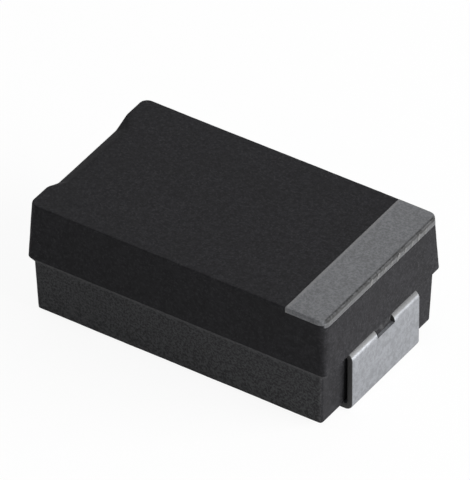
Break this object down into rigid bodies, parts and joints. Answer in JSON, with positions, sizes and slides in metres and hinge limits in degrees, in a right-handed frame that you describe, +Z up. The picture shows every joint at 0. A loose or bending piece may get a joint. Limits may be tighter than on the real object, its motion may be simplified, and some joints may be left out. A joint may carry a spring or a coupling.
{
  "type": "tantalum capacitor",
  "caption": "Surface-mount tantalum capacitor: a black moulded case with a polarity stripe and a folded solderable terminal at each end, and the coated slug inside.",
  "frame": {"origin": "on the board, under the middle of the part, at the level of both terminals' undersides", "axes": "+X towards the anode end with the stripe, +Z up from the board, +Y completes the right-handed set"},
  "size_m": [0.0074, 0.0044, 0.0028],
  "materials": {
    "case_epoxy": "fine-grained matte black moulded epoxy",
    "stripe_marking": "light grey marking on the epoxy",
    "tin_plate": "matte tin plating",
    "sintered_tantalum": "porous sintered metal",
    "tantalum_wire": "drawn wire",
    "washer_plastic": "white fluoropolymer",
    "manganese_dioxide": "matte black crystalline layer",
    "graphite": "dull carbon layer",
    "silver_paint": "matte silver-filled paint",
    "silver_adhesive": "cured silver-filled adhesive"
  },
  "bodies": {
    "root": {"molded_case": "case_epoxy", "polarity_stripe": "stripe_marking", "anode_terminal": "tin_plate", "cathode_terminal": "tin_plate", "tantalum_slug": "sintered_tantalum", "anode_wire": "tantalum_wire", "insulating_washer": "washer_plastic", "manganese_dioxide": "manganese_dioxide", "graphite_layer": "graphite", "silver_paint": "silver_paint", "silver_adhesive": "silver_adhesive"}
  },
  "joints": []
}
